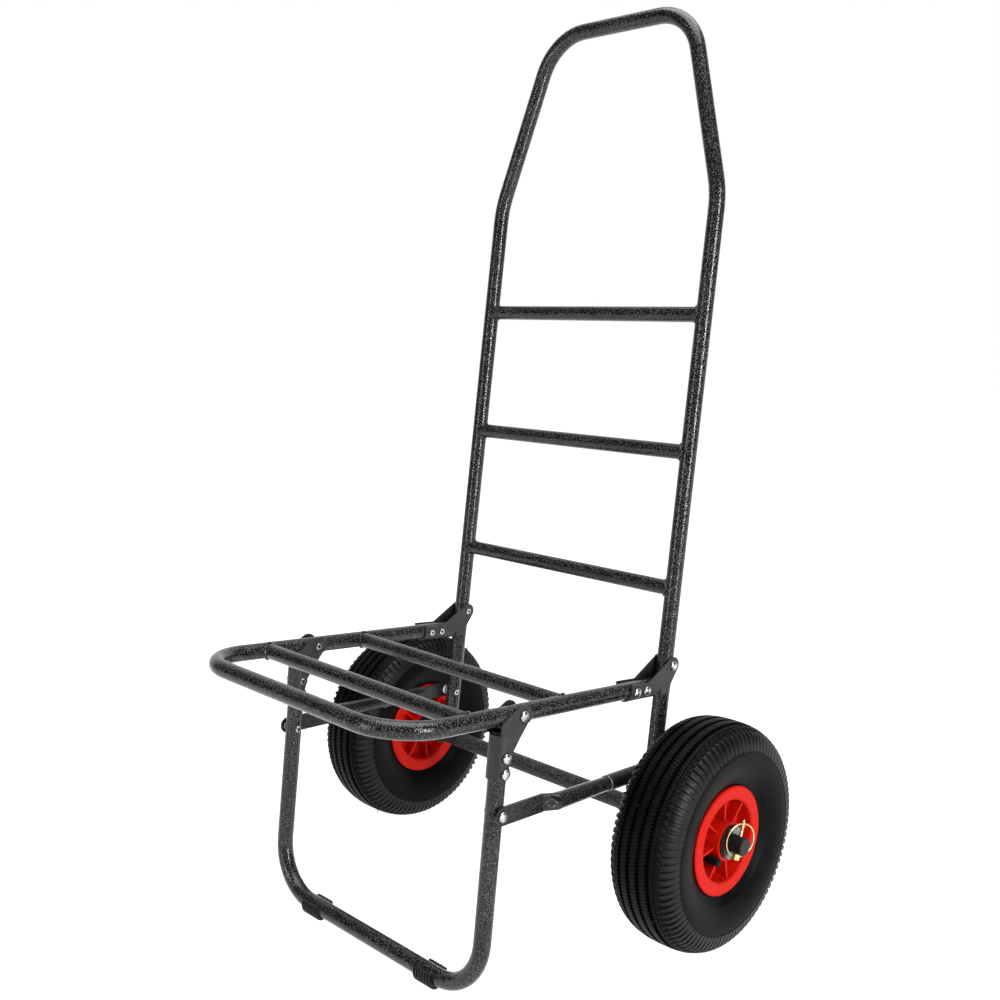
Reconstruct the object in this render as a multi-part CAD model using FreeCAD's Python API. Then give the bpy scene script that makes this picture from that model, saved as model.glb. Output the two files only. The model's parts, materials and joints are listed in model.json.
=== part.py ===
import FreeCAD, Part
import os
from math import sin, cos, tan, radians, acos, hypot

# Folding hand truck: a tubular frame on two pneumatic wheels, with a platform that
# folds up against the uprights and a leg that folds away under the platform.
#
# Frame: +Z up, X along the axle, the platform points to -Y, origin on the ground at the
# centre of the whole truck's footprint. All sizes in millimetres.

V = FreeCAD.Vector
os.makedirs("parts", exist_ok=True)

# ---- driving dimensions ----------------------------------------------------------
WHEEL_D = 260.0            # 4.10/3.50-4 pneumatic tyre
TYRE_W = 85.0
WHEEL_X = 251.5            # centre plane of a wheel
TUBE_R = 9.5               # 19 mm frame tube
WALL = 1.5
RUNG_R = 9.0
HALF_TRACK = 172.5         # uprights, platform sides and legs lie in one plane per side

LEAN = radians(8.2)        # uprights lean back
SHOULDER_S = 721.0         # distances up the uprights, from the axle
TOP_S = 936.5
TOP_HALF = 107.6
SHOULDER_BEND = 120.0
TOP_BEND = 65.0
RUNG_S = {"upper": 582.0, "middle": 423.0, "lower": 264.0}

SLOPE_DEG = 6.04           # the platform rises towards its front
SLOPE = radians(SLOPE_DEG)
PLATFORM_Z0 = 282.7        # platform tube's height over the axle's line
PLATFORM_FRONT = -384.0
PLATFORM_REAR = 7.0
PLATFORM_BEND = 60.0
CROSSBAR_Y = {"front": -290.7, "rear": -150.4}

LEG_LEAN_DEG = 6.86
LEG_LEAN = radians(LEG_LEAN_DEG)
LEG_Y0 = -281.3            # leg's centre line where it would meet the ground
LEG_TOP_Z = 292.0
LEG_BOTTOM_Z = 13.3
LEG_BEND = 60.0
BRACKET_LOW = 245.6        # ends of the leg bracket's channel
BRACKET_HIGH = 291.0
SCALLOP_R = 6.9            # bracket edge around each rivet
FOOT_X = 100.0
FOOT_LEN = 25.0
FOOT_R = 13.7
FOOT_RIBS = 6
FOOT_GROOVE = 1.1

# pivots, as (y from the axle, height)
PIVOT_FRAME = (26.4, 303.8)        # platform on upright
PIVOT_LEG = (-224.4, 306.44)       # leg on platform
PIVOT_STRUT_FRONT = (-256.15, 209.0)
PIVOT_STRUT_REAR = (5.55, 193.1)

PLATE = 2.0                # bracket sheet
PLATE_GAP = 0.3            # tube to bracket cheek
RIVET_R = 3.0
HEAD_R = 5.5
HEAD_H = 3.0
RING_R = 3.9
PIVOT_CLEAR = 0.08
OPEN_PIVOT_R = 5.2         # wide hole in the strut's front end

AXLE_R = 10.0
AXLE_BORE = 8.0
AXLE_END = 304.0
CAP_T = 2.5                # plastic cap in the axle's end
CAP_PLUG = 3.5             # length that it pushes into the tube
SPACER = (182.4, 218.6)    # from and to, along X
HUB_WASHER = (288.9, 290.4)
HUB_WASHER_R = 18.5

PIN_X = 297.0              # linch pins through the axle's ends
PIN_TILT = radians(22.0)
PIN_R = 1.9
PIN_HOLE_R = 2.05
PIN_TIP = 28.0
HEAD_FROM = -16.2
HEAD_TO = -10.3
HEAD_SIZE = (7.0, 6.4)
RING_CENTRE = 5.5
RING_RADIUS = 19.0
WIRE_R = 0.85
RING_BORE_R = 1.6
RING_YAW = radians(16.0)
RING_LEAN_DEG = 4.9        # the closed ring rests beside the pin's tip

TONGUE_X = 182.6           # inner face of the struts' flattened ends
TONGUE_T = 3.0
STRUT_WASHER = (182.0, 182.5)      # between the tongue and the tube
FRONT_TONGUE_HALF = 9.8
REAR_TONGUE_HALF = 9.0
STRUT_X = 190.8            # centre line of the struts' round part
STRUT_R = 9.2
NECK_R = 7.9               # front tube where it enters the rear tube
SPIGOT_R = 7.2
REAR_TUBE_R = 8.9
STRUT_WALL = 1.4
FRONT_TONGUE = 60.0        # distances from the front pivot
CRIMP_END = 74.0
JOINT_AT = 157.0
SPIGOT_END = 182.0
REAR_TONGUE = 34.0         # length from the rear pivot
REAR_CRIMP = 14.0

HUB_OUT = 34.0             # half widths of the hub, outside and inside
HUB_IN = 30.5
HUB_R = 22.0
HUB_BORE = 14.0
AXLE_CLEAR_R = 10.05
LIP_R = 62.0
RIM_INNER = 46.5
FLOOR_FROM = 12.0
FLOOR_TO = 16.0
RIB_COUNT = 8
RIB_T = 2.4
RIB_START_DEG = 5.0
VALVE_ANGLE = radians(216.5)
VALVE_R = 28.5
STEM_R = 2.9
STEM_END = 26.5

AXLE_Z = WHEEL_D / 2
TOP_Y = TOP_S * sin(LEAN)
AXLE_Y = -((PLATFORM_FRONT - TUBE_R) + (TOP_Y + TUBE_R)) / 2
INNER = TUBE_R + PLATE_GAP
OUTER = INNER + PLATE


# ---- places ------------------------------------------------------------------------
def at(x, y, z):
    """A point from y measured from the axle and height above the ground."""
    return V(x, AXLE_Y + y, z)


def on_upright(x, s, n=0.0):
    """A point s up the upright and n behind its centre line."""
    return at(x, s * sin(LEAN) + n * cos(LEAN), AXLE_Z + s * cos(LEAN) - n * sin(LEAN))


def on_platform(x, y, up=0.0):
    """A point on the platform's plane, at y along it and raised square to it."""
    return at(x, y + up * sin(SLOPE), PLATFORM_Z0 - y * tan(SLOPE) + up * cos(SLOPE))


def on_leg(x, z, front=0.0):
    """A point on the leg's plane at height z, moved forwards square to it."""
    return at(x, LEG_Y0 + z * tan(LEG_LEAN) - front * cos(LEG_LEAN), z + front * sin(LEG_LEAN))


def save(name, shape):
    """Writes one node, after joining the faces that lie on one surface."""
    shape = shape.removeSplitter()
    print("%-24s solids %d  valid %s" % (name, len(shape.Solids), shape.isValid()))
    shape.exportStep("parts/%s.step" % name)


def group(shapes):
    """Separate solids kept together as one node."""
    return Part.makeCompound(shapes)


def mirrored(shape):
    return shape.mirror(V(0, 0, 0), V(1, 0, 0))


def save_pair(name, right):
    """A right-hand piece and its mirror image, as two nodes."""
    save(name + "_right", right)
    save(name + "_left", mirrored(right))


def save_both(name, rights):
    """Identical pieces on both sides, as one node of separate solids."""
    save(name, group(rights + [mirrored(r) for r in rights]))


# ---- shapes ------------------------------------------------------------------------
def rod_x(x0, x1, y, z, radius):
    """A cylinder along X through a point given from the axle."""
    return Part.makeCylinder(radius, x1 - x0, at(x0, y, z), V(1, 0, 0))


def bent_path(points, radii):
    """Straight runs through the points, with a tangent arc of each inner radius."""
    edges = []
    start = points[0]
    for before, corner, after, radius in zip(points, points[1:], points[2:], radii):
        a = (before - corner).normalize()
        b = (after - corner).normalize()
        half = acos(max(-1.0, min(1.0, a.dot(b)))) / 2
        reach = radius / tan(half)
        middle = (a + b).normalize()
        centre = corner + middle * (radius / sin(half))
        first = corner + a * reach
        last = corner + b * reach
        edges.append(Part.LineSegment(start, first).toShape())
        edges.append(Part.Arc(first, centre - middle * radius, last).toShape())
        start = last
    edges.append(Part.LineSegment(start, points[-1]).toShape())
    return Part.Wire(edges)


def bent_rod(path, radius):
    """A solid round bar along a bent path."""
    start = path.Edges[0].valueAt(path.Edges[0].FirstParameter)
    along = path.Edges[0].tangentAt(path.Edges[0].FirstParameter)
    ring = Part.Wire(Part.makeCircle(radius, start, along))
    return path.makePipeShell([ring], True, False)


def bent_tube(path):
    return bent_rod(path, TUBE_R).cut(bent_rod(path, TUBE_R - WALL))


def turned(profile, centre, along):
    """A closed profile of (distance along, radius) turned about an axis."""
    side = V(0, 0, 1) if abs(along.z) < 0.9 else V(0, 1, 0)
    side = (side - along * side.dot(along)).normalize()
    points = [centre + along * a + side * r for a, r in profile]
    face = Part.Face(Part.makePolygon(points + [points[0]]))
    return face.revolve(centre, along, 360)


def plate_x(x0, thickness, outline):
    """A flat plate across X, from points as (y from the axle, height)."""
    points = [at(x0, y, z) for y, z in outline]
    face = Part.Face(Part.makePolygon(points + [points[0]]))
    return face.extrude(V(thickness, 0, 0))


def arc_points(centre, radius, start, end, count=14):
    """Points of a rounded corner, from angle to angle in degrees."""
    steps = [start + (end - start) * i / count for i in range(count + 1)]
    return [(centre[0] + radius * cos(radians(a)), centre[1] + radius * sin(radians(a)))
            for a in steps]


def rivet(x_inner, x_outer, spot):
    """A rivet along X: domed head outside, rolled hollow end inside."""
    steps = 8
    dome = []
    for i in range(steps + 1):
        a = radians(90.0 * i / steps)
        dome.append((x_outer + 0.6 + (HEAD_H - 0.6) * sin(a), HEAD_R * cos(a)))
    profile = [(x_inner - 1.4, 0.0), (x_inner - 1.4, RING_R - 0.5), (x_inner - 0.9, RING_R)]
    profile += [(x_inner, RING_R), (x_inner, RIVET_R), (x_outer, RIVET_R), (x_outer, HEAD_R)]
    profile += dome
    body = turned(profile, at(0, *spot), V(1, 0, 0))
    return body.cut(rod_x(x_inner - 2, x_inner + 9, *spot, 1.8))


def bracket_rivet(spot, play=0.0):
    """A rivet through both cheeks of a bracket."""
    return rivet(HALF_TRACK - OUTER - play, HALF_TRACK + OUTER + play, spot)


def hole(shape, spot, radius=RIVET_R):
    """Cuts a hole along X through the right side at a pivot or rivet."""
    return shape.cut(rod_x(HALF_TRACK - 20, HALF_TRACK + 20, spot[0], spot[1], radius))


def both_sides_holed(shape, spots):
    """Cuts rivet holes along X through both sides."""
    for y, z in spots:
        for x in (-HALF_TRACK, HALF_TRACK):
            shape = shape.cut(rod_x(x - 20, x + 20, y, z, RIVET_R))
    return shape


# ---- rivet spots ---------------------------------------------------------------------
def platform_spot(y):
    return (y, PLATFORM_Z0 - y * tan(SLOPE))


def leg_spot(z):
    return (LEG_Y0 + z * tan(LEG_LEAN), z)


REAR_RIVETS = [platform_spot(-40.0), platform_spot(-22.5)]
LEG_RIVETS = [leg_spot(268.0), leg_spot(252.0)]


# ---- back frame ------------------------------------------------------------------------
def handle_frame():
    """Both uprights and the narrower hand bar, as one bent tube."""
    points = [on_upright(-HALF_TRACK, 0), on_upright(-HALF_TRACK, SHOULDER_S),
              on_upright(-TOP_HALF, TOP_S), on_upright(TOP_HALF, TOP_S),
              on_upright(HALF_TRACK, SHOULDER_S), on_upright(HALF_TRACK, 0)]
    path = bent_path(points, [SHOULDER_BEND, TOP_BEND, TOP_BEND, SHOULDER_BEND])
    tube = bent_tube(path).cut(rod_x(-300, 300, 0, AXLE_Z, AXLE_R))
    return both_sides_holed(tube, [PIVOT_FRAME, PIVOT_STRUT_REAR])


def upright_solid(x):
    up = (on_upright(x, SHOULDER_S) - on_upright(x, -40)).normalize()
    return Part.makeCylinder(TUBE_R, SHOULDER_S, on_upright(x, -20), up)


def cross_tube(centre, cutters):
    """A tube along X whose ends are shaped to the two tubes it is welded to."""
    start = V(-HALF_TRACK, centre.y, centre.z)
    length = 2 * HALF_TRACK
    tube = Part.makeCylinder(RUNG_R, length, start, V(1, 0, 0))
    tube = tube.cut(Part.makeCylinder(RUNG_R - WALL, length, start, V(1, 0, 0)))
    for cutter in cutters:
        tube = tube.cut(cutter)
    return max(tube.Solids, key=lambda s: s.Volume)


def build_frame():
    save("handle_frame_tube", handle_frame())
    uprights = [upright_solid(-HALF_TRACK), upright_solid(HALF_TRACK)]
    for name, s in RUNG_S.items():
        save("rung_" + name, cross_tube(on_upright(0, s), uprights))


# ---- axle ------------------------------------------------------------------------------
PIN_DIR = V(0, sin(PIN_TILT), cos(PIN_TILT))


def sleeve_x(span, outer, inner):
    """A round sleeve on the axle's line, from and to the two ends of its span."""
    return rod_x(*span, 0, AXLE_Z, outer).cut(rod_x(*span, 0, AXLE_Z, inner))


def axle_cap():
    """A push-in cap with a softly rounded face."""
    cap = turned([(0, 0), (0, AXLE_R), (CAP_T - 0.8, AXLE_R), (CAP_T - 0.25, AXLE_R - 0.25),
                  (CAP_T, AXLE_R - 0.9), (CAP_T, 0)], at(AXLE_END, 0, AXLE_Z), V(1, 0, 0))
    return cap.fuse(rod_x(AXLE_END - CAP_PLUG, AXLE_END, 0, AXLE_Z, AXLE_BORE))


def build_axle():
    axle = rod_x(-AXLE_END, AXLE_END, 0, AXLE_Z, AXLE_R)
    axle = axle.cut(rod_x(-AXLE_END, AXLE_END, 0, AXLE_Z, AXLE_BORE))
    for x in (-PIN_X, PIN_X):
        start = at(x, 0, AXLE_Z) - PIN_DIR * 20
        axle = axle.cut(Part.makeCylinder(PIN_HOLE_R, 40, start, PIN_DIR))
    save("axle_tube", axle)
    save_both("axle_end_caps", [axle_cap()])
    save_both("axle_spacers", [sleeve_x(SPACER, 13.0, 10.1)])
    save_both("hub_washers", [sleeve_x(HUB_WASHER, HUB_WASHER_R, 10.2)])


def pin_head(centre, swivel, facing):
    """The flat block at the pin's lower end that carries the ring."""
    wide, deep = HEAD_SIZE
    head = Part.makeBox(wide, deep, HEAD_TO - HEAD_FROM)
    head.translate(V(-wide / 2, -deep / 2, 0))
    turn = FreeCAD.Rotation(swivel, facing, PIN_DIR, "ZXY")
    place = FreeCAD.Placement(centre + PIN_DIR * HEAD_FROM, turn)
    head.Placement = place.multiply(head.Placement)
    return head


def build_linch_pin():
    centre = at(PIN_X, 0, AXLE_Z)
    outline = [(HEAD_TO, 0), (HEAD_TO, PIN_R), (PIN_TIP - 3, PIN_R), (PIN_TIP, 0.8), (PIN_TIP, 0)]
    shank = turned(outline, centre, PIN_DIR)
    swivel = V(sin(RING_YAW), cos(RING_YAW) * cos(PIN_TILT), -cos(RING_YAW) * sin(PIN_TILT))
    facing = swivel.cross(PIN_DIR).normalize()
    pivot = centre + PIN_DIR * (RING_CENTRE - RING_RADIUS)
    bore = Part.makeCylinder(RING_BORE_R, 20, pivot - swivel * 10, swivel)
    save_pair("linch_pin", pin_head(centre, swivel, facing).fuse(shank).cut(bore))
    ring = Part.makeTorus(RING_RADIUS, WIRE_R, centre + PIN_DIR * RING_CENTRE, facing)
    ring.rotate(pivot, swivel, RING_LEAN_DEG)
    save_pair("linch_ring", ring)


# ---- platform --------------------------------------------------------------------------
def platform_side_solid(x):
    a = on_platform(x, 60)
    b = on_platform(x, PLATFORM_FRONT - 60)
    return Part.makeCylinder(TUBE_R, (b - a).Length, a, (b - a).normalize())


def rear_bracket():
    """A channel that wraps the tube from below, with an ear on each side of the upright."""
    front, rear = on_platform(HALF_TRACK, -50.5), on_platform(HALF_TRACK, 3.0)
    along = (rear - front).normalize()
    length = (rear - front).Length
    wrap = Part.makeCylinder(OUTER, length, front, along)
    wrap = wrap.cut(Part.makeCylinder(INNER, length, front, along))
    up = V(0, sin(SLOPE), cos(SLOPE))
    block = Part.makeBox(60, 200, 60, V(HALF_TRACK - 30, -100, 0))
    block.rotate(V(0, 0, 0), V(1, 0, 0), -SLOPE_DEG)
    block.translate(V(0, front.y, front.z))
    wrap = wrap.cut(block)
    outline = [platform_spot(-50.5), (-50.5 + up.y * 9.5, platform_spot(-50.5)[1] + 9.5)]
    outline += [(-17.0, platform_spot(-17.0)[1] + 9.0)]
    outline += arc_points(PIVOT_FRAME, 10.0, 128.0, -28.0)
    outline += [(22.0, 283.0), (19.5, 273.5), (2.9, 273.5), (3.0, platform_spot(3.0)[1])]
    cheeks = [plate_x(HALF_TRACK + INNER, PLATE, outline),
              plate_x(HALF_TRACK - OUTER, PLATE, outline)]
    bracket = wrap.fuse(cheeks)
    for spot in REAR_RIVETS:
        bracket = hole(bracket, spot)
    return hole(bracket, PIVOT_FRAME, RIVET_R + PIVOT_CLEAR)


def build_platform():
    points = [on_platform(-HALF_TRACK, PLATFORM_REAR), on_platform(-HALF_TRACK, PLATFORM_FRONT),
              on_platform(HALF_TRACK, PLATFORM_FRONT), on_platform(HALF_TRACK, PLATFORM_REAR)]
    tube = bent_tube(bent_path(points, [PLATFORM_BEND] * 2))
    save("platform_tube", both_sides_holed(tube, REAR_RIVETS + [PIVOT_LEG]))
    sides = [platform_side_solid(-HALF_TRACK), platform_side_solid(HALF_TRACK)]
    for name, y in CROSSBAR_Y.items():
        save("crossbar_" + name, cross_tube(on_platform(0, y), sides))
    end = on_platform(HALF_TRACK, PLATFORM_REAR)
    inwards = (on_platform(HALF_TRACK, 0) - end).normalize()
    plug = Part.makeCylinder(TUBE_R - WALL, 12, end, inwards)
    plug = plug.fuse(Part.makeCylinder(TUBE_R, 1.5, end - inwards * 1.5, inwards))
    save_both("platform_tube_plugs", [plug])
    save_pair("rear_bracket", rear_bracket())
    save_both("rear_bracket_rivets", [bracket_rivet(s) for s in REAR_RIVETS])
    save_both("platform_leg_rivets", [bracket_rivet(PIVOT_LEG, 0.1)])
    save_both("frame_pivot_rivets", [bracket_rivet(PIVOT_FRAME, 0.1)])


# ---- leg ---------------------------------------------------------------------------------
def leg_edge(z, front):
    """A point of the leg bracket's outline, as (y from the axle, height)."""
    spot = on_leg(0, z, front)
    return (spot.y - AXLE_Y, spot.z)


def leg_bracket():
    """A channel that wraps the leg's top from the front, with cheeks up to its pivot."""
    low, high = on_leg(HALF_TRACK, BRACKET_LOW), on_leg(HALF_TRACK, BRACKET_HIGH)
    along = (high - low).normalize()
    length = (high - low).Length
    wrap = Part.makeCylinder(OUTER, length, low, along)
    wrap = wrap.cut(Part.makeCylinder(INNER, length, low, along))
    block = Part.makeBox(60, 60, 200, V(HALF_TRACK - 30, 0, -100))
    block.rotate(V(0, 0, 0), V(1, 0, 0), -LEG_LEAN_DEG)
    block.translate(V(0, low.y, low.z))
    wrap = wrap.cut(block)

    outline = [leg_edge(BRACKET_LOW, 0)]
    outline += arc_points(LEG_RIVETS[1], SCALLOP_R, -85.0, 48.0)
    outline += arc_points(LEG_RIVETS[0], SCALLOP_R, -48.0, 15.0)
    outline += [(-231.0, 284.0), (-217.0, 299.5)]
    outline += arc_points(PIVOT_LEG, 11.5, -48.0, 112.0)
    outline += [leg_edge(304.0, 10.5), leg_edge(BRACKET_HIGH, 11.0), leg_edge(BRACKET_HIGH, 0)]
    cheeks = [plate_x(HALF_TRACK + INNER, PLATE, outline),
              plate_x(HALF_TRACK - OUTER, PLATE, outline)]
    bracket = wrap.fuse(cheeks)
    for spot in LEG_RIVETS:
        bracket = hole(bracket, spot)
    return hole(bracket, PIVOT_LEG, RIVET_R + PIVOT_CLEAR)


def foot():
    """A ribbed clip under the leg's bottom run, flat where it stands."""
    y = on_leg(0, LEG_BOTTOM_Z).y - AXLE_Y
    x0, x1 = FOOT_X - FOOT_LEN / 2, FOOT_X + FOOT_LEN / 2
    body = rod_x(x0, x1, y, LEG_BOTTOM_Z, FOOT_R)
    pitch = FOOT_LEN / FOOT_RIBS
    for i in range(FOOT_RIBS):
        middle = x0 + pitch * (i + 0.5)
        span = (middle - FOOT_GROOVE, middle + FOOT_GROOVE)
        groove = rod_x(*span, y, LEG_BOTTOM_Z, FOOT_R + 4)
        body = body.cut(groove.cut(rod_x(*span, y, LEG_BOTTOM_Z, FOOT_R - 1.2)))
    body = body.cut(rod_x(x0, x1, y, LEG_BOTTOM_Z, TUBE_R))
    body = body.cut(Part.makeBox(FOOT_LEN, 60, 40, at(x0, y - 30, LEG_BOTTOM_Z + 5.5)))
    return body.cut(Part.makeBox(FOOT_LEN, 60, 20, at(x0, y - 30, -20)))


def build_leg():
    points = [on_leg(-HALF_TRACK, LEG_TOP_Z), on_leg(-HALF_TRACK, LEG_BOTTOM_Z),
              on_leg(HALF_TRACK, LEG_BOTTOM_Z), on_leg(HALF_TRACK, LEG_TOP_Z)]
    tube = bent_tube(bent_path(points, [LEG_BEND] * 2))
    save("leg_tube", both_sides_holed(tube, LEG_RIVETS + [PIVOT_STRUT_FRONT]))
    top = on_leg(HALF_TRACK, LEG_TOP_Z)
    down = (on_leg(HALF_TRACK, 0) - top).normalize()
    plug = Part.makeCylinder(TUBE_R - WALL, 12, top, down)
    plug = plug.fuse(Part.makeCylinder(TUBE_R, 1.5, top - down * 1.5, down))
    save_both("leg_tube_plugs", [plug])
    save_pair("leg_bracket", leg_bracket())
    save_both("leg_bracket_rivets", [bracket_rivet(s) for s in LEG_RIVETS])
    save_pair("foot", foot())


# ---- struts --------------------------------------------------------------------------------
def strut_frame():
    """The front pivot, the ways along and up the strut, and its pivot distance."""
    y0, z0 = PIVOT_STRUT_FRONT
    y1, z1 = PIVOT_STRUT_REAR
    length = hypot(y1 - y0, z1 - z0)
    along = V(0, (y1 - y0) / length, (z1 - z0) / length)
    return at(0, y0, z0), along, V(0, -along.z, along.y), length


def slot_wire(origin, along, up, x_middle, half_height, half_thick, distance):
    """A flat oval across the strut, as two lines and two end arcs."""
    c = origin + along * distance + V(x_middle, 0, 0)
    straight = half_height - half_thick
    x = V(half_thick, 0, 0)
    rise = up * straight
    corners = [c + x + rise, c - x + rise, c - x - rise, c + x - rise]
    top = c + up * half_height
    bottom = c - up * half_height
    return Part.Wire([Part.Arc(corners[0], top, corners[1]).toShape(),
                      Part.LineSegment(corners[1], corners[2]).toShape(),
                      Part.Arc(corners[2], bottom, corners[3]).toShape(),
                      Part.LineSegment(corners[3], corners[0]).toShape()])


def round_wire(origin, along, up, x_middle, radius, distance):
    """A circle across the strut, in four arcs that match the flat oval's edges."""
    c = origin + along * distance + V(x_middle, 0, 0)
    angles = [radians(a) for a in (50, 90, 130, 180, 230, 270, 310, 360, 410)]
    spots = [c + V(radius * cos(a), 0, 0) + up * (radius * sin(a)) for a in angles]
    return Part.Wire([Part.Arc(*spots[i:i + 3]).toShape() for i in (0, 2, 4, 6)])


def tongue(origin, along, up, pivot_at, end_at, half_height):
    """The flattened end: a flat bar with a rounded end about its pivot."""
    length = abs(end_at - pivot_at)
    way = along if end_at > pivot_at else along * -1
    low = origin + along * pivot_at + V(TONGUE_X, 0, 0)
    corner_a = low + up * half_height
    corner_b = low - up * half_height
    reach = way * length
    outline = Part.Wire([Part.Arc(corner_a, low - way * half_height, corner_b).toShape(),
                         Part.LineSegment(corner_b, corner_b + reach).toShape(),
                         Part.LineSegment(corner_b + reach, corner_a + reach).toShape(),
                         Part.LineSegment(corner_a + reach, corner_a).toShape()])
    return Part.Face(outline).extrude(V(TONGUE_T, 0, 0))


def cone_along(origin, along, d0, r0, d1, r1):
    """A round length of strut between two distances, straight or tapered."""
    base = origin + along * d0 + V(STRUT_X, 0, 0)
    if abs(r0 - r1) < 1e-6:
        return Part.makeCylinder(r0, d1 - d0, base, along)
    return Part.makeCone(r0, r1, d1 - d0, base, along)


def crimp(origin, along, up, flat_at, round_at, half_height, radius):
    """The squeezed length where the round tube turns into its flat end."""
    middle = TONGUE_X + TONGUE_T / 2
    flat = slot_wire(origin, along, up, middle, half_height, TONGUE_T / 2, flat_at)
    ring = round_wire(origin, along, up, STRUT_X, radius, round_at)
    return Part.makeLoft([flat, ring], True, True)


def strut_front(origin, along, up):
    """Flattened front end, round middle and the spigot inside the rear tube."""
    shape = tongue(origin, along, up, 0, FRONT_TONGUE, FRONT_TONGUE_HALF)
    shape = shape.fuse([
        crimp(origin, along, up, FRONT_TONGUE, CRIMP_END, FRONT_TONGUE_HALF, STRUT_R),
        cone_along(origin, along, CRIMP_END, STRUT_R, JOINT_AT, NECK_R),
        cone_along(origin, along, JOINT_AT, SPIGOT_R, SPIGOT_END, SPIGOT_R)])
    bore_r = SPIGOT_R - STRUT_WALL
    shape = shape.cut(cone_along(origin, along, CRIMP_END + 4, bore_r, SPIGOT_END, bore_r))
    return hole(shape, PIVOT_STRUT_FRONT, OPEN_PIVOT_R)


def strut_rear(origin, along, up, length):
    """Round rear tube with its flattened end on the upright."""
    flat_at = length - REAR_TONGUE
    round_at = flat_at - REAR_CRIMP
    shape = tongue(origin, along, up, length, flat_at, REAR_TONGUE_HALF)
    shape = shape.fuse([
        crimp(origin, along, up, flat_at, round_at, REAR_TONGUE_HALF, REAR_TUBE_R),
        cone_along(origin, along, JOINT_AT, REAR_TUBE_R, round_at, REAR_TUBE_R)])
    shape = shape.cut(cone_along(origin, along, JOINT_AT, SPIGOT_R, round_at - 4, SPIGOT_R))
    return hole(shape, PIVOT_STRUT_REAR, RIVET_R + PIVOT_CLEAR)


def build_struts():
    origin, along, up, length = strut_frame()
    save_pair("strut_front", strut_front(origin, along, up))
    save_pair("strut_rear", strut_rear(origin, along, up, length))
    x_inner = HALF_TRACK - TUBE_R
    x_outer = TONGUE_X + TONGUE_T + 0.1
    for name, spot in (("strut_front", PIVOT_STRUT_FRONT), ("strut_rear", PIVOT_STRUT_REAR)):
        save_both(name + "_rivets", [rivet(x_inner, x_outer, spot)])
        washer = rod_x(*STRUT_WASHER, *spot, 7.0).cut(rod_x(*STRUT_WASHER, *spot, RIVET_R))
        save_both(name + "_washers", [washer])


# ---- wheels --------------------------------------------------------------------------------
WHEEL_CENTRE = at(WHEEL_X, 0, AXLE_Z)
ACROSS = V(1, 0, 0)


def tyre_profile(inset):
    """Half of the tyre's outer outline, as (distance from the centre plane, radius)."""
    outline = [(0.0, 130.0), (12.0, 129.7), (23.0, 128.2), (31.0, 125.0), (36.5, 119.5), (40.2, 112.0),
               (42.5, 101.0), (42.3, 91.0), (40.0, 80.0), (36.0, 71.0), (31.5, 64.5), (28.6, 61.0)]
    if inset == 0:
        return outline
    centre = (0.0, 92.0)
    shrunk = []
    for x, r in outline:
        d = hypot(x - centre[0], r - centre[1])
        k = (d - inset) / d
        shrunk.append((centre[0] + (x - centre[0]) * k, centre[1] + (r - centre[1]) * k))
    return shrunk


def closed(half):
    """Mirrors an outline from the centre plane outwards into a whole one."""
    return half + [(-x, r) for x, r in reversed(half) if x > 0]


def ring_of(half):
    """Turns a mirrored outline about the axle."""
    return turned(closed(half), WHEEL_CENTRE, ACROSS)


def build_tyre():
    bead = [(28.6, 52.0), (20.0, 51.3)]
    cavity = [(0.0, 124.5)] + tyre_profile(5.5)[1:9] + [(24.5, 62.0), (20.0, 56.0)]
    opening = turned([(-20.0, 51.0), (20.0, 51.0), (20.0, 60.0), (-20.0, 60.0)], WHEEL_CENTRE, ACROSS)
    save_pair("tyre", ring_of(tyre_profile(0) + bead).cut(ring_of(cavity)).cut(opening))
    outside = [(0.0, 124.0)] + tyre_profile(6.0)[1:8]
    outside += [(31.0, 76.0), (23.0, 62.8), (14.0, 56.0), (6.0, 53.0)]
    inside = [(0.0, 122.0)] + tyre_profile(8.0)[1:8]
    inside += [(29.0, 77.0), (21.6, 64.7), (13.0, 58.2), (6.0, 55.2)]
    save_pair("inner_tube", ring_of(outside).cut(ring_of(inside)))


def rim_ribs():
    """Flat ribs between the hub and the bead seat."""
    outline = [(FLOOR_TO - 1, HUB_R - 1), (FLOOR_TO - 1, RIM_INNER - 1), (30.2, RIM_INNER + 1),
               (29.0, HUB_R - 1)]
    points = [WHEEL_CENTRE + V(x, 0, r) for x, r in outline]
    ribs = []
    for i in range(RIB_COUNT):
        rib = Part.Face(Part.makePolygon(points + [points[0]])).extrude(V(0, RIB_T, 0))
        rib.translate(V(0, -RIB_T / 2, 0))
        rib.rotate(WHEEL_CENTRE, ACROSS, RIB_START_DEG + 360.0 * i / RIB_COUNT)
        ribs.append(rib)
    return ribs


def rim_half(hub_half):
    """The outer half of the moulded rim: hub, floor, ribs, bead seat and lip."""
    barrel = [(0.0, 43.5), (0.0, 48.0), (14.0, 48.5), (20.0, 51.2), (28.6, 51.9), (28.6, 59.8),
              (30.0, LIP_R), (32.0, LIP_R), (33.0, 60.0), (33.0, RIM_INNER + 2), (31.6, RIM_INNER),
              (14.0, 43.5)]
    hub = [(0.0, HUB_BORE), (0.0, 18.0), (12.0, 18.0), (16.0, HUB_R + 1.5), (hub_half, HUB_R),
           (hub_half, HUB_BORE)]
    floor = [(FLOOR_FROM, 16.5), (FLOOR_FROM, 46.0), (FLOOR_TO, 46.0), (FLOOR_TO, 16.5)]
    half = turned(barrel, WHEEL_CENTRE, ACROSS)
    half = half.fuse([turned(hub, WHEEL_CENTRE, ACROSS), turned(floor, WHEEL_CENTRE, ACROSS)])
    return half.fuse(rim_ribs())


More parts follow.
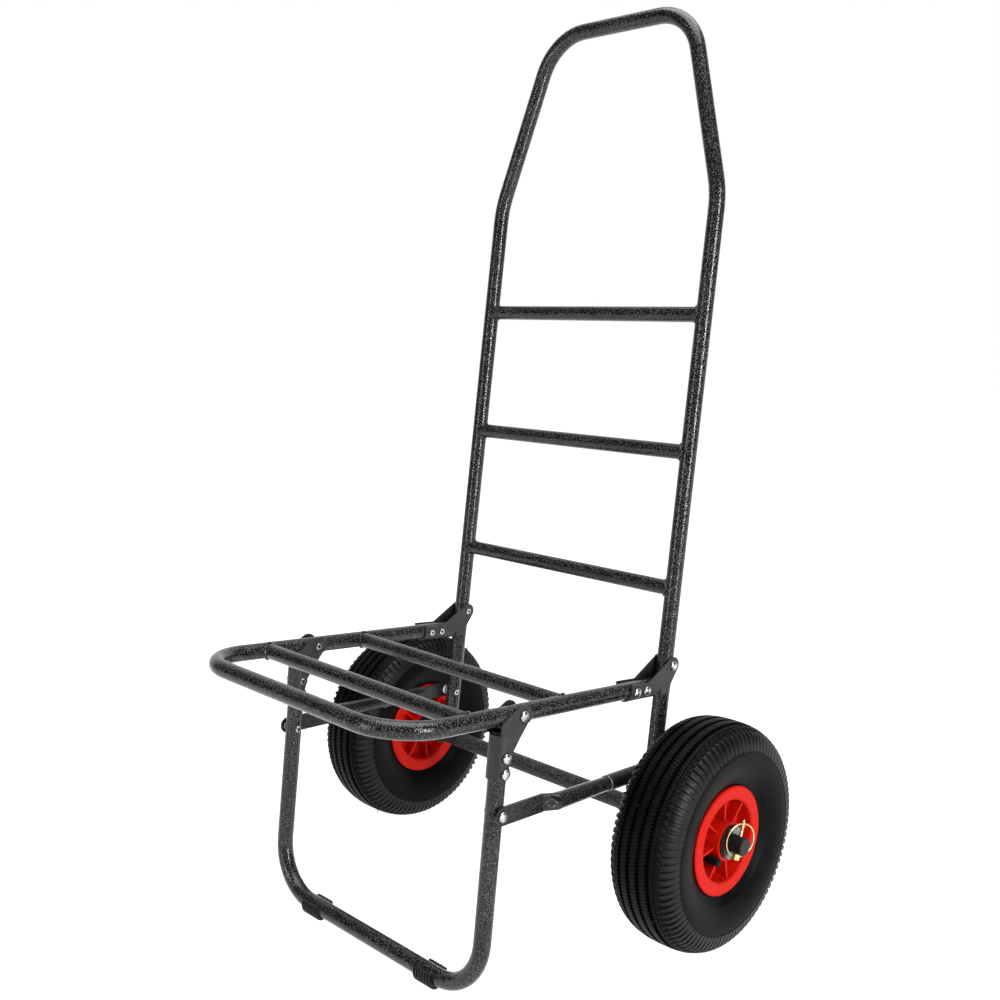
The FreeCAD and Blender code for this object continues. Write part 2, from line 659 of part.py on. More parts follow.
def build_rim():
    save_pair("rim_inner", rim_half(HUB_IN).mirror(WHEEL_CENTRE, ACROSS))
    out = V(0, cos(VALVE_ANGLE), sin(VALVE_ANGLE))
    floor_start = WHEEL_CENTRE + out * VALVE_R + ACROSS * (FLOOR_FROM - 3)
    floor_hole = Part.makeCylinder(4.0, 10, floor_start, ACROSS)
    barrel_hole = Part.makeCylinder(4.0, 14, WHEEL_CENTRE + out * 38 + ACROSS * 6, out)
    save_pair("rim_outer", rim_half(HUB_OUT).cut(floor_hole).cut(barrel_hole))


def build_valve():
    out = V(0, cos(VALVE_ANGLE), sin(VALVE_ANGLE))
    start = WHEEL_CENTRE + out * VALVE_R
    points = [WHEEL_CENTRE + ACROSS * 6 + out * 52.9, start + ACROSS * 6, start + ACROSS * STEM_END]
    save_pair("valve_stem", bent_rod(bent_path(points, [5.0]), STEM_R))
    cap = [(STEM_END, 0), (STEM_END, STEM_R), (STEM_END - 3, STEM_R), (STEM_END - 3, 4.4),
           (STEM_END + 9.6, 4.4), (STEM_END + 11, 3.2), (STEM_END + 11, 0)]
    save_pair("valve_cap", turned(cap, start, ACROSS))


def build_hub():
    """A flanged plain bush in each end of the hub."""
    outer = [(10.5, AXLE_CLEAR_R), (10.5, HUB_BORE), (HUB_OUT, HUB_BORE), (HUB_OUT, 19.0),
             (HUB_OUT + 2.0, 19.0), (HUB_OUT + 2.8, 18.2), (HUB_OUT + 2.8, AXLE_CLEAR_R)]
    inner = [(-10.5, AXLE_CLEAR_R), (-10.5, HUB_BORE), (-HUB_IN, HUB_BORE), (-HUB_IN, 17.0),
             (-HUB_IN - 1.9, 17.0), (-HUB_IN - 1.9, AXLE_CLEAR_R)]
    bushes = [turned(outer, WHEEL_CENTRE, ACROSS), turned(inner, WHEEL_CENTRE, ACROSS)]
    save_pair("hub_bushes", group(bushes))


build_frame()
build_axle()
build_linch_pin()
build_platform()
build_leg()
build_struts()
build_tyre()
build_rim()
build_valve()
build_hub()
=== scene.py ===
import json
import random
from math import sin, cos, pi, radians, sqrt

import bpy
from mathutils import Matrix, Vector

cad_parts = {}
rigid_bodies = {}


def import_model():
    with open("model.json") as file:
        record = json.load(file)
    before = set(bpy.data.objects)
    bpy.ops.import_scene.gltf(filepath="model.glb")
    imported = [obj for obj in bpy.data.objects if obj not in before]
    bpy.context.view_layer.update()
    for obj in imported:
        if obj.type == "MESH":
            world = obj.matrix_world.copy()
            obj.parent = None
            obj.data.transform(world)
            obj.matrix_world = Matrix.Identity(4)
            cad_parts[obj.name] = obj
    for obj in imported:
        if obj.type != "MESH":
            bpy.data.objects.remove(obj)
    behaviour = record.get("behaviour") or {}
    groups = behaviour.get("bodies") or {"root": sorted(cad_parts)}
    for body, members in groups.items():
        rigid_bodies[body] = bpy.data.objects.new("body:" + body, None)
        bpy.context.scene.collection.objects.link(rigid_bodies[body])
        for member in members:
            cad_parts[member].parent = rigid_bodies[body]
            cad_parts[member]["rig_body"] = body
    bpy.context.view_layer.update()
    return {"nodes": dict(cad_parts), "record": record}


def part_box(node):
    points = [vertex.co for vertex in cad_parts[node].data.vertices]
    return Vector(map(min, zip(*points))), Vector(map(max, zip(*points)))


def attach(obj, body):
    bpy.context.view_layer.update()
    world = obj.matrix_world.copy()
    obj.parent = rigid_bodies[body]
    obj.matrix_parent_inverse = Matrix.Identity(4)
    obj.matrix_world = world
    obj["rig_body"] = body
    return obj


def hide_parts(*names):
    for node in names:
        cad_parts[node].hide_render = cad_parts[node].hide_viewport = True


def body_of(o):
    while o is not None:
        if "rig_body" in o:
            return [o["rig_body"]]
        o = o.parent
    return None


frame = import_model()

random.seed(4)
NODES = frame["nodes"]
MM = 0.001

# ---- places and sizes, in millimetres --------------------------------------------------
def centre(node):
    """The middle of a node's box."""
    low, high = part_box(node)
    return (low + high) / 2 / MM


AXLE = centre("axle_tube")
WHEEL_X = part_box("rim_outer_right")[0].x / MM      # a wheel's centre plane
WHEEL_R = AXLE.z
TUBE_R = 9.5
RUNG_R = 9.0
HALF_TRACK = 172.5
BLACK_FROM_X = 180.0       # the axle is plain black from here out
HEAD_R = 5.5               # rivet heads
HEAD_H = 3.0
STRUT_FRONT = Vector((0, -256.15, 209.0))      # pivots, with y from the axle
STRUT_REAR = Vector((0, 5.55, 193.1))
STRUT_X = 190.8
STRUT_REAR_R = 8.9
JOINT_AT = 157.0           # distances along a strut from its front pivot
CRIMP_MARK_AT = 66.0
LEAN = radians(8.2)        # uprights
SLOPE = radians(6.04)      # platform
SIDES = {"right": 1, "left": -1}

# ---- stage: metres and watts -------------------------------------------------------------
FLOOR_HALF = 9.0
FLOOR_DARK = 0.28
FLOOR_LIGHT = 0.31
BACKDROP_WAY = (-0.704, 0.71, 0.0)     # towards the bright side of the backdrop
ROOM_GLOW = 0.07                       # strength of the backdrop's other sides
SIDE_LAMP = {"place": (2.8, -0.25, 1.1), "target": (0, 0, 0.5), "size": (0.2, 1.8), "power": 90}
FRONT_LAMP = {"place": (-0.4, -2.8, 0.9), "target": (0, 0, 0.5), "size": (0.2, 1.6), "power": 24}
TOP_LAMP = {"place": (0.2, 0.2, 3.0), "target": (0, 0, 0.4), "size": (2.6, 2.6), "power": 120}
CAMERA_X = 0.9634
CAMERA_Y = -1.045          # from the axle
CAMERA_Z = 0.716
CAMERA_TURN = radians(44.79)
CAMERA_TILT = radians(80.56)
CAMERA_ROLL = 0.0024
CAMERA_LENS = 42.16


# ---- meshes -----------------------------------------------------------------------------
def new_piece(name, verts, faces, material, body):
    """A smooth mesh piece from points in millimetres, riding on a body."""
    mesh = bpy.data.meshes.new(name)
    mesh.from_pydata([tuple(c * MM for c in v) for v in verts], [], faces)
    mesh.validate()
    mesh.update()
    mesh.shade_smooth()
    piece = bpy.data.objects.new(name, mesh)
    bpy.context.scene.collection.objects.link(piece)
    piece.data.materials.append(material)
    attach(piece, body)
    return piece


def grid_faces(rows, columns, close_rows=False, start=0):
    """Quads over a grid of points stored row by row, each row closed into a ring."""
    faces = []
    for i in range(rows if close_rows else rows - 1):
        for j in range(columns):
            a = start + i * columns + j
            b = start + i * columns + (j + 1) % columns
            c = start + ((i + 1) % rows) * columns + (j + 1) % columns
            d = start + ((i + 1) % rows) * columns + j
            faces.append((a, b, c, d))
    return faces


def swept_ring(path, radius_at, sections=8):
    """A bead along a closed path of (point, outward, sideways), with a radius by step."""
    verts = []
    for i, (point, outward, sideways) in enumerate(path):
        r = radius_at(i)
        for k in range(sections):
            a = 2 * pi * k / sections
            verts.append(point + outward * (r * cos(a)) + sideways * (r * sin(a)))
    return verts, grid_faces(len(path), sections, close_rows=True)


# ---- materials --------------------------------------------------------------------------
class Shader:
    """A node material that is built up one call at a time."""

    def __init__(self, name, metallic=0.0, specular=0.5):
        self.material = bpy.data.materials.new(name)
        self.material.use_nodes = True
        self.tree = self.material.node_tree
        self.tree.nodes.clear()
        self.shader = self.node("ShaderNodeBsdfPrincipled")
        output = self.node("ShaderNodeOutputMaterial")
        self.link(self.shader.outputs["BSDF"], output.inputs["Surface"])
        self.shader.inputs["Metallic"].default_value = metallic
        self.shader.inputs["Specular IOR Level"].default_value = specular
        self.place = self.node("ShaderNodeTexCoord").outputs["Object"]
        self.height = None

    def node(self, kind, **values):
        """A new node with some of its properties set."""
        made = self.tree.nodes.new(kind)
        for key, value in values.items():
            setattr(made, key, value)
        return made

    def link(self, a, b):
        self.tree.links.new(a, b)

    def noise(self, size, detail=2.0, rough=0.5):
        """Noise whose features are about size millimetres across."""
        made = self.node("ShaderNodeTexNoise")
        made.inputs["Scale"].default_value = 1.0 / (size * MM)
        made.inputs["Detail"].default_value = detail
        made.inputs["Roughness"].default_value = rough
        self.link(self.place, made.inputs["Vector"])
        return made.outputs["Fac"]

    def ramp(self, value, stops):
        """Colours by value, from a list of (position, (r, g, b))."""
        made = self.node("ShaderNodeValToRGB")
        elements = made.color_ramp.elements
        while len(elements) < len(stops):
            elements.new(0.5)
        for element, (position, colour) in zip(elements, stops):
            element.position = position
            element.color = (*colour, 1.0)
        self.link(value, made.inputs["Fac"])
        return made.outputs["Color"]

    def mix(self, factor, a, b, blend="MIX"):
        """Mixes two colours. Each value is a constant or a node's output."""
        made = self.node("ShaderNodeMix", data_type="RGBA", blend_type=blend)
        if isinstance(factor, float):
            made.inputs["Factor"].default_value = factor
        else:
            self.link(factor, made.inputs["Factor"])
        for socket, value in ((made.inputs[6], a), (made.inputs[7], b)):
            if isinstance(value, tuple):
                socket.default_value = (*value, 1.0)
            else:
                self.link(value, socket)
        return made.outputs[2]

    def span(self, value, low, high):
        """Maps 0..1 to low..high."""
        made = self.node("ShaderNodeMapRange")
        made.inputs["To Min"].default_value = low
        made.inputs["To Max"].default_value = high
        self.link(value, made.inputs["Value"])
        return made.outputs["Result"]

    def colour(self, value):
        self.link(value, self.shader.inputs["Base Color"])

    def rough(self, value):
        self.link(value, self.shader.inputs["Roughness"])

    def bump(self, value, depth, strength=1.0):
        """Adds relief of about depth millimetres."""
        made = self.node("ShaderNodeBump")
        made.inputs["Strength"].default_value = strength
        made.inputs["Distance"].default_value = depth * MM
        self.link(value, made.inputs["Height"])
        if self.height is not None:
            self.link(self.height, made.inputs["Normal"])
        self.height = made.outputs["Normal"]
        self.link(self.height, self.shader.inputs["Normal"])


def grey(level):
    return (level, level, level)


def hammertone(name, dark, middle, light, size=1.35, specular=0.31):
    """Powder coat that dries into dimples, dark between pale crests."""
    s = Shader(name, specular=specular)
    speck = s.noise(size, detail=0.6)
    patches = s.noise(60.0, detail=1.0)
    base = s.ramp(speck, [(0.4, dark), (0.54, middle), (0.67, light)])
    shade = s.ramp(patches, [(0.3, grey(0.7)), (0.7, grey(1.0))])
    s.colour(s.mix(1.0, base, shade, "MULTIPLY"))
    s.rough(s.span(speck, 0.19, 0.06))
    s.bump(speck, 0.26, 1.0)
    return s.material


def axle_paint(name):
    """Hammertone between the wheels, plain satin black outside them."""
    s = Shader(name, specular=0.15)
    across = s.node("ShaderNodeSeparateXYZ")
    s.link(s.place, across.inputs[0])
    size = s.node("ShaderNodeMath", operation="ABSOLUTE")
    s.link(across.outputs["X"], size.inputs[0])
    outside = s.node("ShaderNodeMath", operation="GREATER_THAN")
    outside.inputs[1].default_value = BLACK_FROM_X * MM
    s.link(size.outputs[0], outside.inputs[0])
    speck = s.noise(1.5, detail=0.6)
    specks = s.ramp(speck, [(0.4, grey(0.002)), (0.64, grey(0.06))])
    scuffs = s.ramp(s.noise(8.0, detail=5.0), [(0.4, grey(0.004)), (0.75, grey(0.014))])
    s.colour(s.mix(outside.outputs[0], specks, scuffs))
    s.rough(s.span(s.noise(12.0), 0.35, 0.55))
    s.bump(speck, 0.12, 0.5)
    return s.material


def satin_paint(name, base, light, rough=0.42, grain=0.5, specular=0.4):
    """Smooth dark paint with a little orange peel and faint scuffs."""
    s = Shader(name, specular=specular)
    scuffs = s.noise(14.0, detail=6.0, rough=0.7)
    s.colour(s.ramp(scuffs, [(0.42, base), (0.75, light)]))
    s.rough(s.span(scuffs, rough - 0.1, rough + 0.14))
    s.bump(s.noise(grain, detail=2.0), 0.06, 0.6)
    return s.material


def plated(name, dark, base, light, rough=0.24):
    """Zinc plate: bright metal with cloudy patches and fine scratches."""
    s = Shader(name, metallic=1.0)
    clouds = s.noise(3.0, detail=4.0, rough=0.6)
    s.colour(s.ramp(clouds, [(0.3, dark), (0.5, base), (0.72, light)]))
    s.rough(s.span(clouds, rough - 0.08, rough + 0.14))
    s.bump(s.noise(0.6, detail=3.0), 0.05, 0.5)
    return s.material


def moulded(name, base, light, rough=0.4, size=9.0, grain=0.45, specular=0.5):
    """Moulded plastic: even colour that drifts a little, with a fine skin."""
    s = Shader(name, specular=specular)
    drift = s.noise(size, detail=4.0, rough=0.6)
    s.colour(s.ramp(drift, [(0.35, base), (0.72, light)]))
    s.rough(s.span(drift, rough - 0.06, rough + 0.12))
    s.bump(s.noise(grain, detail=2.0), 0.05, 0.5)
    return s.material


def rubber(name, base, dusty, rough=0.42, specular=0.05):
    """Tyre rubber: near black, with dusty bloom in patches."""
    s = Shader(name, specular=specular)
    bloom = s.noise(22.0, detail=6.0, rough=0.65)
    specks = s.noise(1.2, detail=2.0)
    tint = s.ramp(bloom, [(0.4, base), (0.7, dusty)])
    s.colour(s.mix(s.span(specks, 0.0, 0.25), tint, dusty))
    s.rough(s.span(bloom, rough - 0.1, rough + 0.12))
    s.bump(specks, 0.12, 0.5)
    return s.material


MATERIALS = {
    "frame_paint": hammertone("hammertone_paint", grey(0.003), grey(0.013), (0.085, 0.086, 0.087)),
    "axle_paint": axle_paint("axle_paint"),
    "bracket_paint": satin_paint("bracket_black", (0.013, 0.0135, 0.013), (0.028, 0.029, 0.028),
                                 specular=0.33),
    "strut_front_paint": hammertone("strut_hammertone", grey(0.003), grey(0.012),
                                    (0.04, 0.04, 0.039), size=1.2),
    # pale grey: a painted highlight for the mouth of each strut's outer tube
    "mouth_highlight_paint": satin_paint("mouth_highlight_paint", (0.08, 0.08, 0.078), (0.3, 0.3, 0.29), rough=0.35),
    # pale grey: a painted highlight for the glints round each strut's crimp
    "crimp_glint_paint": satin_paint("crimp_glint_paint", (0.04, 0.04, 0.038), (0.3, 0.3, 0.28), rough=0.35),
    "strut_paint": satin_paint("strut_black", (0.005, 0.005, 0.006), (0.014, 0.013, 0.013),
                               rough=0.36),
    "bright_zinc": plated("bright_zinc", (0.22, 0.235, 0.235), (0.48, 0.51, 0.51),
                          (0.75, 0.77, 0.77)),
    "washer_zinc": plated("washer_zinc", grey(0.07), (0.16, 0.16, 0.155), (0.34, 0.34, 0.33)),
    "yellow_zinc": plated("yellow_zinc", (0.36, 0.36, 0.12), (0.66, 0.62, 0.3), (0.85, 0.8, 0.55),
                          rough=0.3),
    "clear_nylon": moulded("nylon", (0.6, 0.59, 0.55), (0.72, 0.71, 0.67)),
    "black_plastic": moulded("black_plastic", (0.005, 0.005, 0.0055), (0.013, 0.013, 0.0135),
                             rough=0.45, specular=0.2),
    "tyre_rubber": rubber("tyre_rubber", (0.0012, 0.0012, 0.0013), (0.004, 0.004, 0.0042)),
    # a lighter copy of the tyre rubber: painted sheen for the bright fin ridges
    "fin_sheen_rubber": rubber("fin_sheen_rubber", grey(0.003), (0.009, 0.009, 0.0088), specular=0.17),
    "valve_rubber": rubber("valve_rubber", grey(0.004), grey(0.011), rough=0.5),
    "rim_red": moulded("rim_red", (0.40, 0.005, 0.0014), (0.5, 0.0075, 0.0023), rough=0.42,
                       specular=0.07),
}

# nodes that look different from the others of their slot
OWN_MATERIAL = {
    "axle_tube": "axle_paint",
    "hub_washers": "washer_zinc",
    "strut_front_left": "strut_front_paint",
    "strut_front_right": "strut_front_paint",
}

EDGE_WIDTHS = {
    "rear_bracket": 0.5, "leg_bracket": 0.5, "rim_outer": 0.5, "rim_inner": 0.5, "foot": 0.4,
    "hub_bushes": 0.5, "hub_washers": 0.3, "linch_pin": 0.3, "valve_cap": 0.4,
}


def dress_nodes():
    """Gives every carried-over node the material of its slot, or its own."""
    slots = {p["node"]: p["material_slot"] for p in frame["record"]["subparts"]}
    for name, node in NODES.items():
        key = OWN_MATERIAL.get(name, slots[name])
        node.data.materials.clear()
        node.data.materials.append(MATERIALS[key])


def soften_edges():
    """A fine rounded edge on the pressed and moulded nodes."""
    for name, node in NODES.items():
        for key, width in EDGE_WIDTHS.items():
            if name.startswith(key) and "rivets" not in name:
                bevel = node.modifiers.new("edge", "BEVEL")
                bevel.width = width * MM
                bevel.segments = 2
                bevel.limit_method = "ANGLE"
                bevel.angle_limit = radians(50)


# ---- tyres --------------------------------------------------------------------------------
FINS = 92                  # shoulder fins, one to every two teeth of the tread's zigzag
COLUMNS = 8                # grid columns to a fin
TOOTH_SWING = 1.7          # of the zigzag, to each side
GROOVE_DEPTH = 3.6
GROOVES = (6.3, 18.6)      # middles of the grooves, from the centre plane
FIN_FROM_X = 30.4          # where the lighter fin rubber starts: a painted sheen on the fin ridges
FIN_FROM_R = 104.5
SHARP_DEGREES = 34
LEFT_HAIRS = [(-20, 52, 13), (-8, 40, 13), (4, 30, 13), (18, 150, 8), (-16, 196, 8), (10, 245, 7)]
RIGHT_HAIRS = [(20, 205, 7), (-6, 150, 7)]
HAIR_SIDES = 6
HAIR_STEPS = 5


def crown(x):
    """The tread's radius at a distance from the centre plane."""
    return WHEEL_R - 0.00017 * abs(x) ** 3


def tyre_rows():
    """Half of the tyre's section, as (x, radius, zigzag, notch depth, notch share)."""
    rows = [(0.0, crown(0), 0, 0, 0)]
    for middle in GROOVES:
        for offset, drop in ((-2.5, 0.0), (-1.8, GROOVE_DEPTH), (1.8, GROOVE_DEPTH), (2.5, 0.0)):
            x = middle + offset
            rows.append((x, crown(x) - drop, TOOTH_SWING, 0, 0))
        if middle == GROOVES[0]:
            rows.append((12.4, crown(12.4), 0, 0, 0))
    rows += [(24.4, crown(24.4), 0, 0, 0), (24.8, crown(25.0) - 0.9, 0.5, 0, 0),
             (25.5, crown(25.0) - 0.9, 0.5, 0, 0), (25.9, crown(25.9), 0, 0, 0),
             (29.6, crown(29.6), 0, 1.6, 0.6), (30.4, crown(30.4) - 0.7, 0, 2.6, 0.8)]
    rows += [(31.8, 124.6, 0, 3.2, 0.86), (34.2, 122.8, 0, 3.6, 0.76), (36.9, 120.2, 0, 3.6, 0.64),
             (39.3, 116.3, 0, 3.2, 0.5), (41.2, 110.8, 0, 2.4, 0.36), (42.2, 105.4, 0, 1.4, 0.2)]
    plain = [(42.5, 103.7), (42.0, 103.1), (42.3, 102.3), (42.4, 97.0), (41.9, 90.0), (40.5, 83.5),
             (38.6, 78.0), (36.6, 73.6), (36.3, 72.8), (35.2, 71.6), (34.7, 70.9), (32.6, 67.2),
             (30.9, 64.3), (29.3, 61.5), (28.4, 60.0), (28.4, 53.0), (21.0, 52.3), (21.0, 57.5),
             (25.0, 63.0), (33.4, 80.0), (36.2, 98.0), (34.0, 112.0), (27.0, 120.0), (14.0, 124.2),
             (0.0, 125.0)]
    return rows + [(x, r, 0, 0, 0) for x, r in plain]


def tyre_row(x, r, zigzag, depth, share, side):
    """One ring of the tyre's points, as (x, radius, angle)."""
    ring = []
    pitch = 2 * pi / FINS
    for fin in range(FINS):
        for k in range(COLUMNS):
            swing = zigzag * (0, 1, 0, -1)[k % 4]
            phase = k / COLUMNS
            sink = 0.22 * zigzag if k % 4 == 3 else 0.0
            if depth:
                steps = (0.0, 0.3 * share, 0.5 * share, 0.25 + 0.25 * share, 0.5)
                step = steps[min(k, COLUMNS - k)]
                phase = step if k <= COLUMNS / 2 else 1 - step
                sink = depth if step < 0.5 * share else 0.0
            ring.append((side * x + swing, r - sink, (fin + phase) * pitch))
    return ring


def build_tyre(side_name, side):
    """A closed tyre with its tread, in place of the plain one."""
    half = tyre_rows()
    rings = [tyre_row(*row, 1) for row in half]
    rings += [tyre_row(*row, -1) for row in reversed(half[1:-1])]
    verts = []
    for ring in rings:
        for x, r, angle in ring:
            verts.append((side * WHEEL_X + x, AXLE.y + r * cos(angle), AXLE.z + r * sin(angle)))
    faces = grid_faces(len(rings), FINS * COLUMNS, close_rows=True)
    faces = [tuple(reversed(f)) for f in faces]
    tyre = new_piece("tyre_tread_" + side_name, verts, faces, MATERIALS["tyre_rubber"],
                     "wheel_" + side_name)
    tyre.data.set_sharp_from_angle(angle=radians(SHARP_DEGREES))
    tyre.data.materials.append(MATERIALS["fin_sheen_rubber"])
    # the shoulder and fins take the lighter rubber, a painted sheen
    for polygon in tyre.data.polygons:
        x, y, z = polygon.center / MM
        radius = sqrt((y - AXLE.y) ** 2 + (z - AXLE.z) ** 2)
        if abs(abs(x) - WHEEL_X) > FIN_FROM_X and radius > FIN_FROM_R:
            polygon.material_index = 1
    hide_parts("tyre_" + side_name)


def build_hairs(side_name, side, places):
    """Mould hairs: thin flexible spikes left on the rubber, at (x, degrees, length)."""
    verts, faces = [], []
    for x, degrees, length in places:
        a = radians(degrees)
        out = Vector((0, cos(a), sin(a)))
        along = Vector((0, -sin(a), cos(a)))
        base = Vector((side * (WHEEL_X + x), AXLE.y, AXLE.z)) + out * (crown(x) - 0.6)
        start = len(verts)
        for i in range(HAIR_STEPS + 1):
            t = i / HAIR_STEPS
            middle = base + out * (length * t) + along * (length * 0.25 * t * t)
            radius = 0.85 * (1 - 0.7 * t)
            for k in range(HAIR_SIDES):
                b = 2 * pi * k / HAIR_SIDES
                verts.append(middle + along * (radius * cos(b)) + Vector((radius * sin(b), 0, 0)))
        faces += grid_faces(HAIR_STEPS + 1, HAIR_SIDES, start=start)
        faces.append(tuple(range(start, start + HAIR_SIDES)))
        faces.append(tuple(reversed(range(len(verts) - HAIR_SIDES, len(verts)))))
    new_piece("tyre_hairs_" + side_name, verts, faces, MATERIALS["valve_rubber"],
              "wheel_" + side_name)


# ---- small rings ---------------------------------------------------------------------------
def head_tops(node):
    """The topmost points of a node's rivet heads, in millimetres, on both sides."""
    points = [(node.matrix_world @ v.co) / MM for v in node.data.vertices]
    reach = max(abs(p.x) for p in points)
    tops = {tuple(round(c, 2) for c in p) for p in points if abs(p.x) > reach - 0.01}
    return [Vector(top) for top in sorted(tops)]


def shadow_ring(verts, faces, middle, way, inner, outer, thick):
    """A thin flat ring on a face square to X, rounded over at its outer edge."""
    steps = 40
    start = len(verts)
    section = ((inner, 0), (outer, 0), (outer, 0.5 * thick), (outer - 0.3, thick), (inner, thick))
    for i in range(steps):
        a = 2 * pi * i / steps
        for r, out in section:
            verts.append(middle + Vector((way * out, r * cos(a), r * sin(a))))
    ring = grid_faces(steps, len(section), close_rows=True, start=start)
    faces += ring if way < 0 else [tuple(reversed(f)) for f in ring]


def build_shadow_rings():
    """A dark ring round every rivet head: a painted shadow of the gap under the head."""
    for node in ("rear_bracket_rivets", "leg_bracket_rivets", "platform_leg_rivets",
                 "frame_pivot_rivets", "strut_front_rivets", "strut_rear_rivets"):
        verts, faces = [], []
        for top in head_tops(NODES[node]):
            way = 1 if top.x > 0 else -1
            middle = top - Vector((way * HEAD_H, 0, 0))
            # a dark ring here is a painted shadow round the rivet head
            shadow_ring(verts, faces, middle, way, HEAD_R - 0.15, HEAD_R + 1.0, 0.45)
        body = body_of(NODES[node])[0]
        new_piece("shadow_rings_" + node, verts, faces, MATERIALS["strut_paint"], body)


STRUT_ALONG = (STRUT_REAR - STRUT_FRONT).normalized()
STRUT_UP = Vector((0, -STRUT_ALONG.z, STRUT_ALONG.y))


def on_strut(x, distance):
    """A point on a strut's line at a distance from its front pivot."""
    return STRUT_FRONT + STRUT_ALONG * distance + Vector((x, AXLE.y, 0))


def build_joint_rings():
    """A pale ring at the mouth of each strut's outer tube: a painted highlight on its edge."""
    steps = 48
    section = ((0.0, 0.05), (-0.9, 0.0), (-1.3, -0.5), (-0.9, -1.0), (0.0, -1.0))
    for side_name, side in SIDES.items():
        across = Vector((side, 0, 0))
        middle = on_strut(side * STRUT_X, JOINT_AT)
        verts = []
        for i in range(steps):
            a = 2 * pi * i / steps
            out = across * cos(a) + STRUT_UP * sin(a)
            for forward, rise in section:
                verts.append(middle + STRUT_ALONG * forward + out * (STRUT_REAR_R + rise))
        faces = grid_faces(steps, len(section), close_rows=True)
        faces = faces if side < 0 else [tuple(reversed(f)) for f in faces]
        # the pale colour of this ring is a painted highlight
        new_piece("strut_mouth_" + side_name, verts, faces, MATERIALS["mouth_highlight_paint"],
                  "strut_" + side_name)


def build_crimp_marks():
    """The star-shaped press mark on the outer face of each strut's crimp, coloured pale: a painted
    highlight for the glints round the dimple.
    """
    steps = 60

    def fleck(i):
        return 0.55 + 0.45 * sin(10 * pi * i / steps)

    bpy.context.view_layer.update()
    for side_name, side in SIDES.items():
        across = Vector((side, 0, 0))
        outside = on_strut(side * WHEEL_X, CRIMP_MARK_AT)
        strut = NODES["strut_front_" + side_name]
        path = []
        for i in range(steps):
            a = 2 * pi * i / steps
            way = STRUT_ALONG * cos(a) + STRUT_UP * sin(a)
            start = outside + way * (3.9 + 0.5 * cos(4 * a))
            spot = strut.ray_cast(start * MM, -across)[1]
            path.append((spot / MM, across, way))
        verts, faces = swept_ring(path, fleck)
        faces = faces if side > 0 else [tuple(reversed(f)) for f in faces]
        new_piece("crimp_mark_" + side_name, verts, faces, MATERIALS["crimp_glint_paint"],
                  "strut_" + side_name)


# ---- welds ----------------------------------------------------------------------------------
def weld(name, body, middle, along, side):
    """A bead where a cross tube along X meets a side tube with the given direction."""
    square = Vector((1, 0, 0)).cross(along).normalized()
    steps = 72
    path = []
    for i in range(steps):
        a = 2 * pi * i / steps
        n, s = RUNG_R * cos(a), RUNG_R * sin(a)
        inwards = sqrt(TUBE_R ** 2 - n ** 2) + 0.5
        outward = (square * cos(a) + along * sin(a)).normalized()
        point = middle + square * n + along * s + outward * 0.4 - Vector((side * inwards, 0, 0))
        path.append((point, outward, Vector((1, 0, 0))))

    def radius(i):
        ripple = 0.18 * sin(i * 2 * pi * 24 / steps) + random.uniform(-0.12, 0.12)
        return 1.7 + ripple

    verts, faces = swept_ring(path, radius)
    new_piece(name, verts, faces, MATERIALS["frame_paint"], body)


def build_welds():
    """A bead at both ends of every cross tube."""
    up = Vector((0, sin(LEAN), cos(LEAN)))
    slope = Vector((0, cos(SLOPE), -sin(SLOPE)))
    for side_name, side in SIDES.items():
        for rung in ("rung_upper", "rung_middle", "rung_lower"):
            middle = centre(rung)
            middle.x = side * HALF_TRACK
            weld("weld_%s_%s" % (rung, side_name), "back_frame", middle, up, side)
        for bar in ("crossbar_front", "crossbar_rear"):
            middle = centre(bar)
            middle.x = side * HALF_TRACK
            weld("weld_%s_%s" % (bar, side_name), "platform", middle, slope, side)


# ---- stage ------------------------------------------------------------------------------------
def build_floor():
    """A pale floor that is bright enough to fade into the backdrop."""
    mesh = bpy.data.meshes.new("floor")
    half = FLOOR_HALF
    corners = [(-half, -half, 0), (half, -half, 0), (half, half, 0), (-half, half, 0)]
    mesh.from_pydata(corners, [], [(0, 1, 2, 3)])
    floor = bpy.data.objects.new("floor", mesh)
    bpy.context.scene.collection.objects.link(floor)
    s = Shader("floor_pale", specular=0.0)
    cloud = s.noise(400.0)
    s.colour(s.ramp(cloud, [(0.3, grey(FLOOR_DARK)), (0.7, grey(FLOOR_LIGHT))]))
    s.rough(s.span(cloud, 0.8, 0.9))
    s.shader.inputs["Emission Color"].default_value = (1, 1, 1, 1)
    s.shader.inputs["Emission Strength"].default_value = 1.0
    mesh.materials.append(s.material)


def area_light(name, place, target, size, power):
    """A rectangular white lamp that faces its target."""
    light = bpy.data.lights.new(name, "AREA")
    light.shape = "RECTANGLE"
    light.size, light.size_y = size
    light.energy = power
    lamp = bpy.data.objects.new(name, light)
    bpy.context.scene.collection.objects.link(lamp)
    lamp.location = place
    lamp.rotation_euler = (Vector(target) - Vector(place)).to_track_quat("-Z", "Y").to_euler()


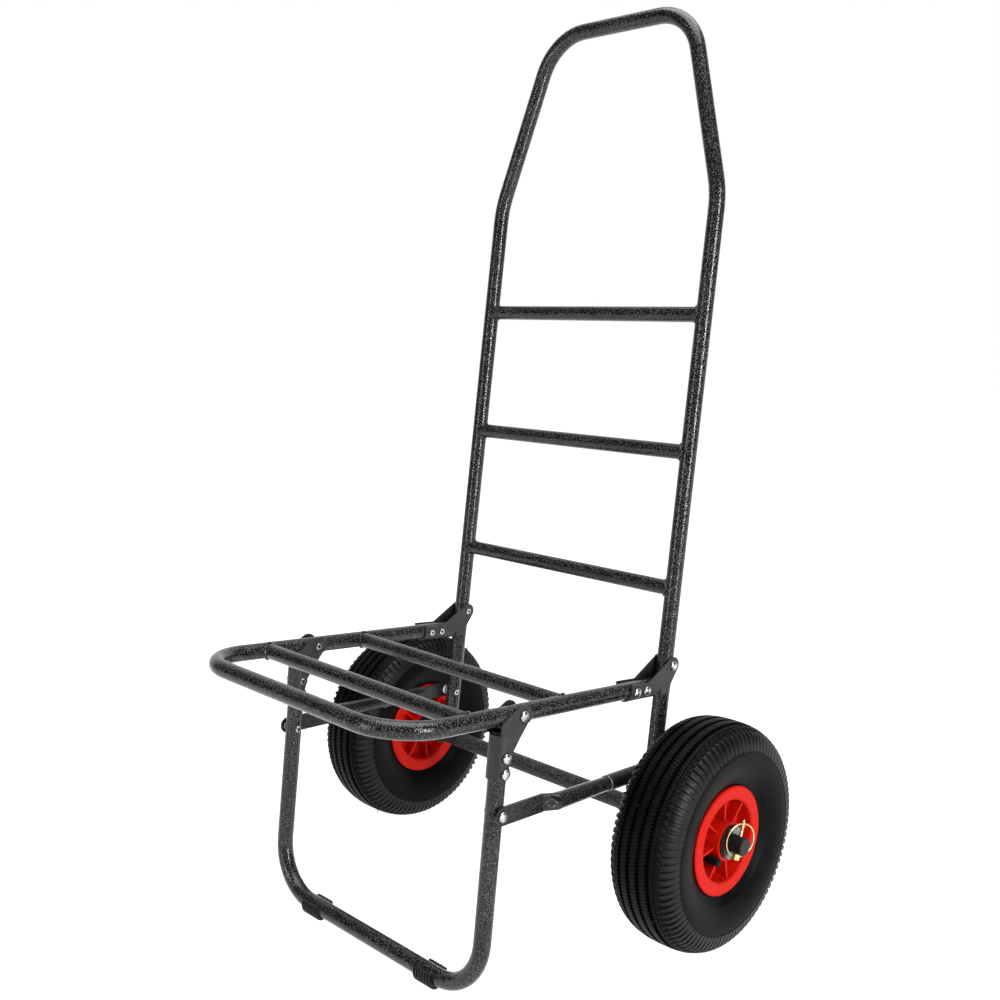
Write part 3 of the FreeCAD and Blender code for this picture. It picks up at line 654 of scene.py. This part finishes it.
def build_world():
    """A white backdrop that lights the object mainly from behind."""
    world = bpy.data.worlds.new("studio")
    world.use_nodes = True
    tree = world.node_tree
    place = tree.nodes.new("ShaderNodeTexCoord")
    facing = tree.nodes.new("ShaderNodeVectorMath")
    facing.operation = "DOT_PRODUCT"
    facing.inputs[1].default_value = BACKDROP_WAY
    glow = tree.nodes.new("ShaderNodeMapRange")
    glow.interpolation_type = "SMOOTHSTEP"
    for socket, value in (("From Min", 0.3), ("From Max", 0.8), ("To Min", ROOM_GLOW), ("To Max", 1.0)):
        glow.inputs[socket].default_value = value
    rays = tree.nodes.new("ShaderNodeLightPath")
    strength = tree.nodes.new("ShaderNodeMath")
    strength.operation = "MAXIMUM"
    backdrop = tree.nodes["Background"]
    backdrop.inputs["Color"].default_value = (1, 1, 1, 1)
    tree.links.new(place.outputs["Generated"], facing.inputs[0])
    tree.links.new(facing.outputs["Value"], glow.inputs["Value"])
    tree.links.new(glow.outputs["Result"], strength.inputs[0])
    tree.links.new(rays.outputs["Is Camera Ray"], strength.inputs[1])
    tree.links.new(strength.outputs[0], backdrop.inputs["Strength"])
    bpy.context.scene.world = world


def build_lights():
    area_light("side", **SIDE_LAMP)
    area_light("front", **FRONT_LAMP)
    area_light("top", **TOP_LAMP)


def build_camera():
    """The camera stands before the front right corner and looks slightly down."""
    data = bpy.data.cameras.new("camera")
    data.lens = CAMERA_LENS
    data.sensor_width = 36.0
    camera = bpy.data.objects.new("camera", data)
    bpy.context.scene.collection.objects.link(camera)
    place = Matrix.Translation((CAMERA_X, CAMERA_Y + AXLE.y * MM, CAMERA_Z))
    turn = Matrix.Rotation(CAMERA_TURN, 4, "Z") @ Matrix.Rotation(CAMERA_TILT, 4, "X")
    camera.matrix_world = place @ turn @ Matrix.Rotation(CAMERA_ROLL, 4, "Z")
    bpy.context.scene.camera = camera


build_camera()
dress_nodes()
soften_edges()
for side_name, side in SIDES.items():
    build_tyre(side_name, side)
build_hairs("left", -1, LEFT_HAIRS)
build_hairs("right", 1, RIGHT_HAIRS)
build_welds()
build_shadow_rings()
build_joint_rings()
build_crimp_marks()
build_floor()
build_lights()
build_world()

bpy.context.scene.view_settings.view_transform = "Standard"
